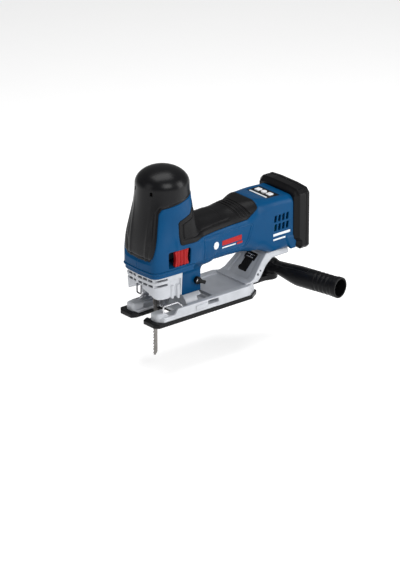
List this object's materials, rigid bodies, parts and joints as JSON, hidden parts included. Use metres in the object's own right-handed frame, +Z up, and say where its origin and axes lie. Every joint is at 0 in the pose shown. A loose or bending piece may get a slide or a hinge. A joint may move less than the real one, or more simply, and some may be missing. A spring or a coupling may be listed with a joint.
{
  "type": "cordless jigsaw",
  "caption": "Cordless barrel-grip jigsaw with domed front hood, tilting cast base on a rear arch, reciprocating blade and swivelling dust nozzle.",
  "frame": {"origin": "on the sole plane, at the blade's centre line", "axes": "-X front of the tool, +X rear; -Y left side; +Z up"},
  "size_m": [0.2594, 0.1558, 0.2585],
  "materials": {
    "black_plastic": "fine matt moulded texture",
    "cast_aluminium": "satin die-cast",
    "steel": "ground steel",
    "blue_plastic": "satin moulded texture",
    "hood_rubber": "soft satin black",
    "grip_rubber": "matt soft grip",
    "red_plastic": "satin red",
    "bronze": "sintered bronze",
    "copper_winding": "varnished copper winding",
    "board_green": "circuit board lacquer",
    "key_white": "smooth",
    "light_lens": "clear-frosted lens",
    "wire_red": "silicone lead",
    "dark_steel": "blackened steel"
  },
  "bodies": {
    "base": {"sole_shoe": "black_plastic", "base_plate": "cast_aluminium", "rear_arch": "cast_aluminium", "arch_screws": "steel", "lever_pin": "steel", "dust_duct": "black_plastic"},
    "lever": {"clamp_lever": "black_plastic"},
    "nozzle": {"dust_nozzle": "black_plastic"},
    "housing": {"housing_left": "blue_plastic", "housing_right": "blue_plastic", "front_hood": "hood_rubber", "collar": "blue_plastic", "gear_housing": "cast_aluminium", "tilt_leg": "blue_plastic", "grip_cover": "grip_rubber", "battery_mount": "black_plastic", "housing_screws": "steel", "gear_frame": "cast_aluminium", "lower_bush": "bronze", "upper_bush": "bronze", "plunger_seal": "grip_rubber", "crank_axle": "steel", "front_bearing": "steel", "rear_bearing": "steel", "end_shield": "cast_aluminium", "stator": "copper_winding", "switch_module": "black_plastic", "fork_pin": "steel", "guard_wire": "dark_steel", "control_board": "board_green", "motor_leads": "wire_red", "control_panel": "black_plastic", "light_bar": "light_lens", "terminal_block": "copper_winding", "work_lights": "light_lens"},
    "plunger_body": {"plunger": "steel", "yoke": "steel", "blade": "steel", "clamp_ring": "dark_steel"},
    "sleeve": {"clamp_sleeve": "dark_steel"},
    "crank": {"crank_gear": "steel", "balance_weight": "steel", "crank_pin": "steel"},
    "rotor_body": {"rotor": "steel", "pinion": "steel", "fan": "black_plastic"},
    "switch": {"switch_left": "red_plastic", "switch_right": "red_plastic", "switch_link": "black_plastic"},
    "orbit": {"orbital_lever": "black_plastic", "orbital_shaft": "steel"},
    "fork": {"roller_fork": "steel", "roller_axle": "steel"},
    "roller": {"guide_roller": "steel"},
    "key_a": {"key_minus": "key_white"},
    "key_b": {"key_round": "key_white"},
    "key_c": {"key_plus": "key_white"}
  },
  "joints": [
    {"name": "base_tilt", "type": "hinge", "parent": "base", "child": "housing", "pos_m": [0, 0, 0.004], "axis": [1, 0, 0], "range_deg": [-45, 18]},
    {"name": "clamp_lever_swing", "type": "hinge", "parent": "base", "child": "lever", "pos_m": [0.1485, 0, 0.0255], "axis": [0, -1, 0], "range_deg": [0, 55]},
    {"name": "nozzle_swivel", "type": "hinge", "parent": "base", "child": "nozzle", "pos_m": [0.19, 0, 0.008], "axis": [0, 0, 1], "range_deg": [-12, 168]},
    {"name": "blade_stroke", "type": "slide", "parent": "housing", "child": "plunger_body", "axis": [0, 0, 1], "range_m": [-0.013, 0.013]},
    {"name": "clamp_sleeve_twist", "type": "hinge", "parent": "plunger_body", "child": "sleeve", "pos_m": [0, 0, 0.05], "axis": [0, 0, 1], "range_deg": [0, 40], "stiffness_Nm_per_rad": 0.05, "springref_deg": -22.92},
    {"name": "crank_spin", "type": "hinge", "parent": "housing", "child": "crank", "pos_m": [0.025, 0, 0.12], "axis": [1, 0, 0], "continuous": true},
    {"name": "rotor_spin", "type": "hinge", "parent": "housing", "child": "rotor_body", "pos_m": [0.025, 0, 0.09], "axis": [1, 0, 0], "continuous": true},
    {"name": "switch_slide", "type": "slide", "parent": "housing", "child": "switch", "axis": [-1, 0, 0], "range_m": [0, 0.006]},
    {"name": "orbit_select", "type": "hinge", "parent": "housing", "child": "orbit", "pos_m": [0.061, -0.009, 0.036], "axis": [0, -1, 0], "range_deg": [0, 50]},
    {"name": "roller_swing", "type": "hinge", "parent": "housing", "child": "fork", "pos_m": [0.022, 0, 0.052], "axis": [0, 1, 0], "range_deg": [0, 1.8], "stiffness_Nm_per_rad": 0.6, "springref_deg": -6.88},
    {"name": "roller_spin", "type": "hinge", "parent": "fork", "child": "roller", "pos_m": [0.0113, 0, 0.018], "axis": [0, 1, 0], "continuous": true},
    {"name": "key_minus_press", "type": "slide", "parent": "housing", "child": "key_a", "axis": [0, 0, -1], "range_m": [0, 0.0006], "stiffness_N_per_m": 1200, "springref_m": -0.0008},
    {"name": "key_round_press", "type": "slide", "parent": "housing", "child": "key_b", "axis": [0, 0, -1], "range_m": [0, 0.0006], "stiffness_N_per_m": 1200, "springref_m": -0.0008},
    {"name": "key_plus_press", "type": "slide", "parent": "housing", "child": "key_c", "axis": [0, 0, -1], "range_m": [0, 0.0006], "stiffness_N_per_m": 1200, "springref_m": -0.0008}
  ],
  "couplings": [
    {"joint": "rotor_spin", "follows": "crank_spin", "ratio": -4}
  ]
}
